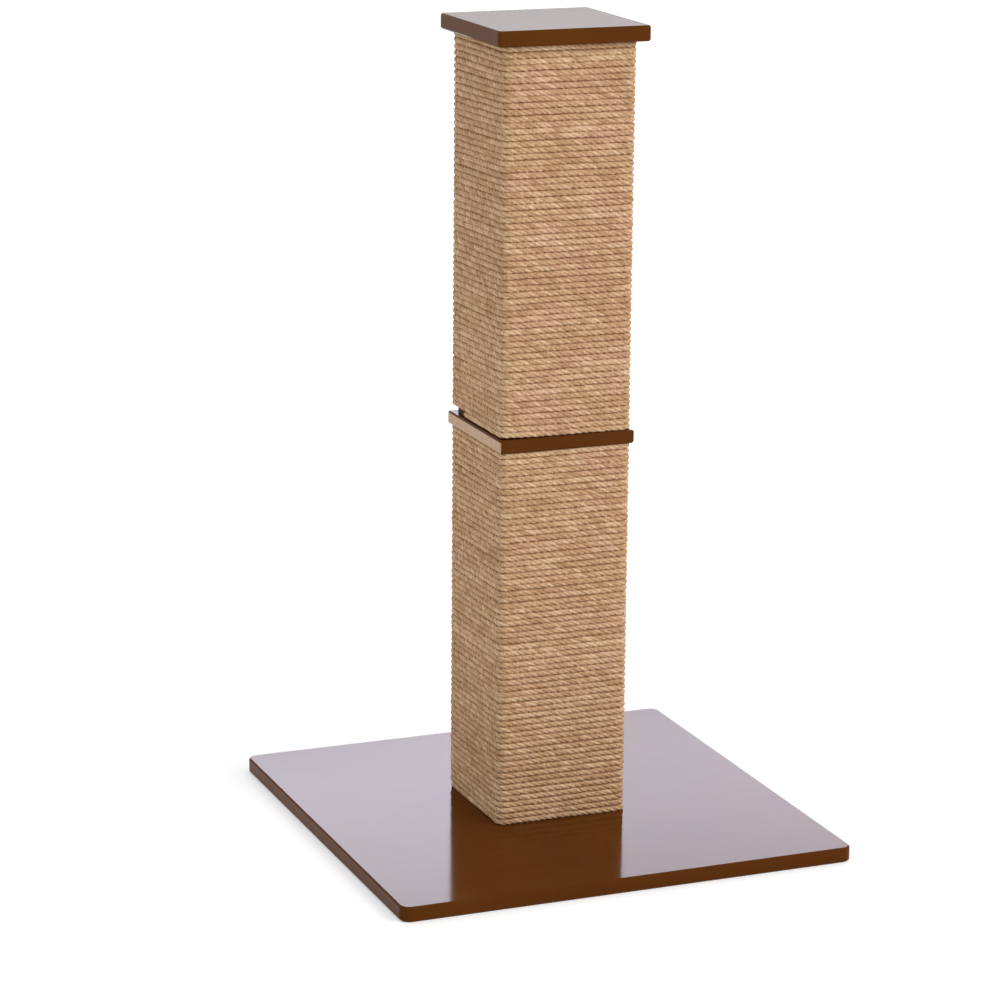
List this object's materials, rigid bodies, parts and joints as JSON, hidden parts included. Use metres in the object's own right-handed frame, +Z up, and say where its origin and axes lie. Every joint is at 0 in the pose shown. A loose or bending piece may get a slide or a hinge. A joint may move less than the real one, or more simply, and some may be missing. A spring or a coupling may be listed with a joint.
{
  "type": "scratching post",
  "caption": "Square rope-wound scratching post for cats, in stacked sections on a flat square base board, with a collar board between them and a cap board on top.",
  "frame": {"origin": "middle of the base board's flat underside", "axes": "+Z up along the post, -Y towards the front of the pictured view, +X to the right seen from the front"},
  "size_m": [0.46, 0.46, 0.787],
  "materials": {
    "stained_board": "dark brown stain under a satin lacquer",
    "raw_board": "raw sawn board",
    "rope": "natural three-strand jute rope",
    "zinc_steel": "bright zinc plating"
  },
  "bodies": {
    "root": {"base_board": "stained_board", "base_bolts": "zinc_steel", "base_washers": "zinc_steel", "base_inserts": "zinc_steel", "collar_board": "stained_board", "collar_screws": "zinc_steel", "joining_stud": "zinc_steel", "lower_tee_nut": "zinc_steel", "upper_tee_nut": "zinc_steel", "cap_board": "stained_board", "cap_screws": "zinc_steel", "lower_panel_front": "raw_board", "lower_panel_back": "raw_board", "lower_panel_left": "raw_board", "lower_panel_right": "raw_board", "lower_block_bottom": "raw_board", "lower_block_top": "raw_board", "lower_rope_bottom": "rope", "lower_rope_middle": "rope", "lower_rope_top": "rope", "lower_rope_nails": "zinc_steel", "upper_panel_front": "raw_board", "upper_panel_back": "raw_board", "upper_panel_left": "raw_board", "upper_panel_right": "raw_board", "upper_block_bottom": "raw_board", "upper_block_top": "raw_board", "upper_rope_bottom": "rope", "upper_rope_middle": "rope", "upper_rope_top": "rope", "upper_rope_nails": "zinc_steel"}
  },
  "joints": []
}
